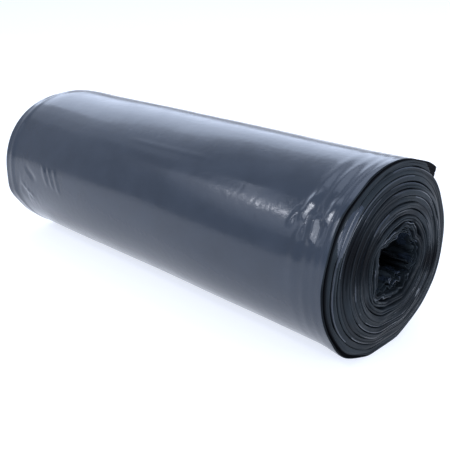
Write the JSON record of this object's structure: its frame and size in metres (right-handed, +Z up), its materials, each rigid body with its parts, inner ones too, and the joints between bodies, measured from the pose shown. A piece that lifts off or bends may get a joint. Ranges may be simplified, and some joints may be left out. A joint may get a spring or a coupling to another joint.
{
  "type": "roll of bin bags",
  "caption": "Coreless roll of glossy dark refuse sacks, wound as one folded web, with a loose outer end, crumpled inner turns and a hollow where the winding spindle was.",
  "frame": {"origin": "centre of the roll's bounding box in plan, on the plane it rests on", "axes": "+X along the roll, towards the end where the web's two lips show and the inner turns stand out; +Z up; the loose end lies on top, on the +Y side"},
  "size_m": [0.329, 0.121, 0.1135],
  "materials": {
    "film": "glossy dark slate polythene film"
  },
  "bodies": {
    "root": {"bag_roll": "film"}
  },
  "joints": []
}
